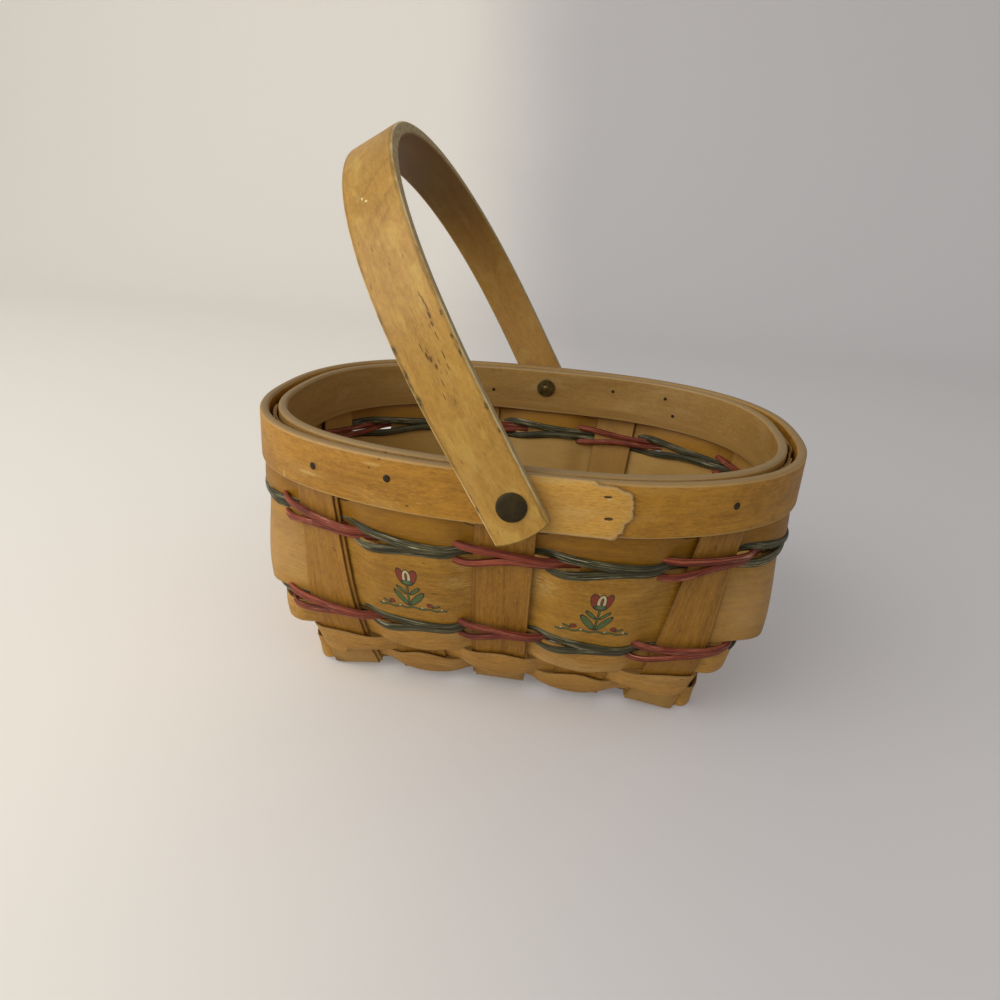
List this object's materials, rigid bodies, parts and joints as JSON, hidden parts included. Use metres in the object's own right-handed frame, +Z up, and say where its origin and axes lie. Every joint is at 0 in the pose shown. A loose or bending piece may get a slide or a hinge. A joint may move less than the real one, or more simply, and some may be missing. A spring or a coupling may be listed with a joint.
{
  "type": "woven swing-handle basket",
  "caption": "Oval-rimmed basket woven from flat wood strips on a rectangular base, with twined reed rows and a bentwood handle that swings on two rivets.",
  "frame": {"origin": "on the floor under the middle of the part's bounding box", "axes": "+Z up, +X to the right along the long side of the basket, +Y towards its back"},
  "size_m": [0.2812, 0.2451, 0.2755],
  "materials": {
    "splint": "honey-stained splint with a thin satin varnish",
    "weaver": "honey-stained thin strip with a satin varnish",
    "band": "honey-stained bent strip with worn light edges",
    "handle_wood": "bent hardwood with a worn glossy varnish and dark scratches",
    "red_reed": "round reed dyed dusty brick red",
    "green_reed": "round reed dyed dark grey-green",
    "dark_brass": "dark antique brass",
    "steel": "darkened steel"
  },
  "bodies": {
    "basket": {"stake_across_1": "splint", "stake_across_2": "splint", "stake_across_3": "splint", "stake_across_4": "splint", "stake_across_5": "splint", "stake_along_front": "splint", "stake_along_middle": "splint", "stake_along_back": "splint", "liner_1": "splint", "liner_3": "splint", "liner_5": "splint", "liner_7": "splint", "liner_9": "splint", "liner_11": "splint", "liner_13": "splint", "liner_15": "splint", "weaver_row_1": "weaver", "weaver_row_2": "weaver", "weaver_row_3": "weaver", "weaver_wide": "weaver", "weaver_row_4": "weaver", "weaver_row_5": "weaver", "reed_lower_red_high": "red_reed", "reed_lower_red_low": "red_reed", "reed_lower_green_high": "green_reed", "reed_lower_green_low": "green_reed", "reed_upper_red_high": "red_reed", "reed_upper_red_low": "red_reed", "reed_upper_green_high": "green_reed", "reed_upper_green_low": "green_reed", "band_inner": "band", "band_outer": "band", "rivet_front": "dark_brass", "burr_front": "dark_brass", "rivet_back": "dark_brass", "burr_back": "dark_brass", "tack_outer_1": "steel", "tack_outer_2": "steel", "tack_outer_3": "steel", "tack_outer_4": "steel", "tack_outer_5": "steel", "tack_outer_6": "steel", "tack_inner_1": "steel", "tack_inner_2": "steel", "tack_inner_3": "steel", "tack_inner_4": "steel", "tack_inner_5": "steel", "tack_inner_6": "steel"},
    "handle": {"handle": "handle_wood"}
  },
  "joints": [
    {"name": "handle_swing", "type": "hinge", "parent": "basket", "child": "handle", "pos_m": [0.0025, 0, 0.1289], "axis": [-0.0244, 0.9997, 0], "range_deg": [-58.7, 121.3]}
  ]
}
